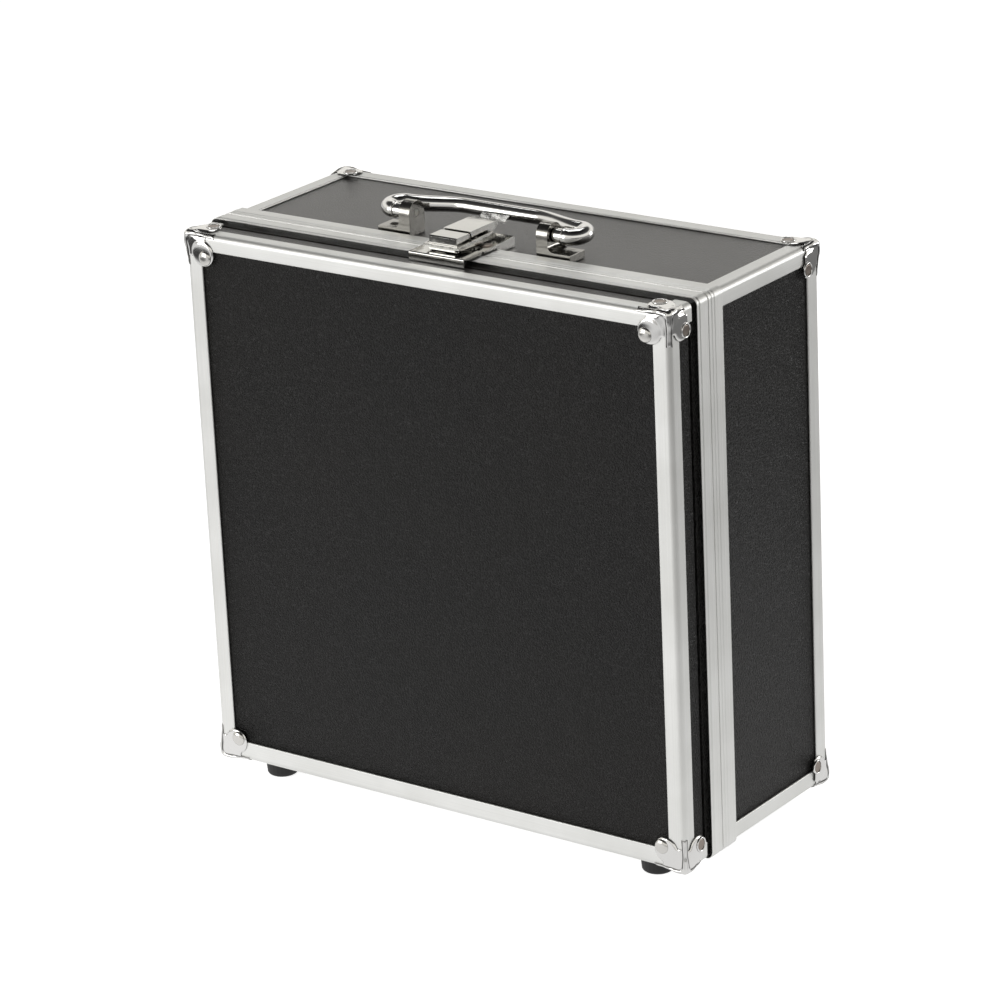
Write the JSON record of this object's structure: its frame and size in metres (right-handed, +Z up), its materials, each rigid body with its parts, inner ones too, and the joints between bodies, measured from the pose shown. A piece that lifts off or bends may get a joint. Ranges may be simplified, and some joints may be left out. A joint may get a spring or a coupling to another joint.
{
  "type": "aluminium-framed carrying case",
  "caption": "Black aluminium-framed carrying case with ribbed rims, chrome corner caps, a hinged lid, a toggle latch, a folding handle and rubber feet.",
  "frame": {"origin": "on the floor under the middle of the case, between the feet", "axes": "+Z up, +Y from the lid's face to the back, +X to the right of someone who faces the lid"},
  "size_m": [0.3462, 0.1602, 0.3654],
  "materials": {
    "black_film": "grained",
    "satin_aluminium": "satin",
    "bright_chrome": "polished",
    "zinc_steel": "zinc plated",
    "black_rubber": "matt",
    "black_lining": "felt"
  },
  "bodies": {
    "case_body": {"body_back_panel": "black_film", "body_corner_bottom_left": "bright_chrome", "body_corner_bottom_right": "bright_chrome", "body_corner_top_left": "bright_chrome", "body_corner_top_right": "bright_chrome", "body_depth_edge_bottom_left": "satin_aluminium", "body_depth_edge_bottom_right": "satin_aluminium", "body_depth_edge_top_left": "satin_aluminium", "body_depth_edge_top_right": "satin_aluminium", "body_foot_left": "black_rubber", "body_foot_right": "black_rubber", "body_lining": "black_lining", "body_rim": "satin_aluminium", "body_wall_bottom": "black_film", "body_wall_left": "black_film", "body_wall_right": "black_film", "body_wall_top": "black_film", "handle_bracket_left": "bright_chrome", "handle_bracket_right": "bright_chrome", "handle_pin_left": "zinc_steel", "handle_pin_right": "zinc_steel", "hinge_body_leaf_left": "zinc_steel", "hinge_body_leaf_right": "zinc_steel", "hinge_pin_left": "zinc_steel", "hinge_pin_right": "zinc_steel", "latch_base_plate": "bright_chrome", "latch_lever_pin": "zinc_steel", "rear_edge_bottom": "satin_aluminium", "rear_edge_left": "satin_aluminium", "rear_edge_right": "satin_aluminium", "rear_edge_top": "satin_aluminium"},
    "lid": {"hinge_lid_leaf_left": "zinc_steel", "hinge_lid_leaf_right": "zinc_steel", "latch_keeper_plate": "bright_chrome", "lid_corner_bottom_left": "bright_chrome", "lid_corner_bottom_right": "bright_chrome", "lid_corner_top_left": "bright_chrome", "lid_corner_top_right": "bright_chrome", "lid_depth_edge_bottom_left": "satin_aluminium", "lid_depth_edge_bottom_right": "satin_aluminium", "lid_depth_edge_top_left": "satin_aluminium", "lid_depth_edge_top_right": "satin_aluminium", "lid_edge_bottom": "satin_aluminium", "lid_edge_left": "satin_aluminium", "lid_edge_right": "satin_aluminium", "lid_edge_top": "satin_aluminium", "lid_foot_left": "black_rubber", "lid_foot_right": "black_rubber", "lid_lining": "black_lining", "lid_panel": "black_film", "lid_rim": "satin_aluminium", "lid_wall_bottom": "black_film", "lid_wall_left": "black_film", "lid_wall_right": "black_film", "lid_wall_top": "black_film"},
    "handle": {"handle_grip": "bright_chrome"},
    "latch_lever": {"latch_lever": "bright_chrome"},
    "latch_hook": {"latch_hook": "bright_chrome", "latch_hook_pin": "zinc_steel"}
  },
  "joints": [
    {"name": "lid_hinge", "type": "hinge", "parent": "case_body", "child": "lid", "pos_m": [0, -0.0402, 0.0072], "axis": [1, 0, 0], "range_deg": [0, 95]},
    {"name": "handle_hinge", "type": "hinge", "parent": "case_body", "child": "handle", "pos_m": [0, -0.0162, 0.358], "axis": [1, 0, 0], "range_deg": [0, 105]},
    {"name": "latch_lever_hinge", "type": "hinge", "parent": "case_body", "child": "latch_lever", "pos_m": [0, -0.034, 0.3534], "axis": [1, 0, 0], "range_deg": [0, 85]},
    {"name": "latch_hook_hinge", "type": "hinge", "parent": "latch_lever", "child": "latch_hook", "pos_m": [0, -0.02, 0.3534], "axis": [1, 0, 0], "range_deg": [-85, 0]}
  ],
  "couplings": [
    {"joint": "latch_hook_hinge", "follows": "latch_lever_hinge", "ratio": -1}
  ]
}
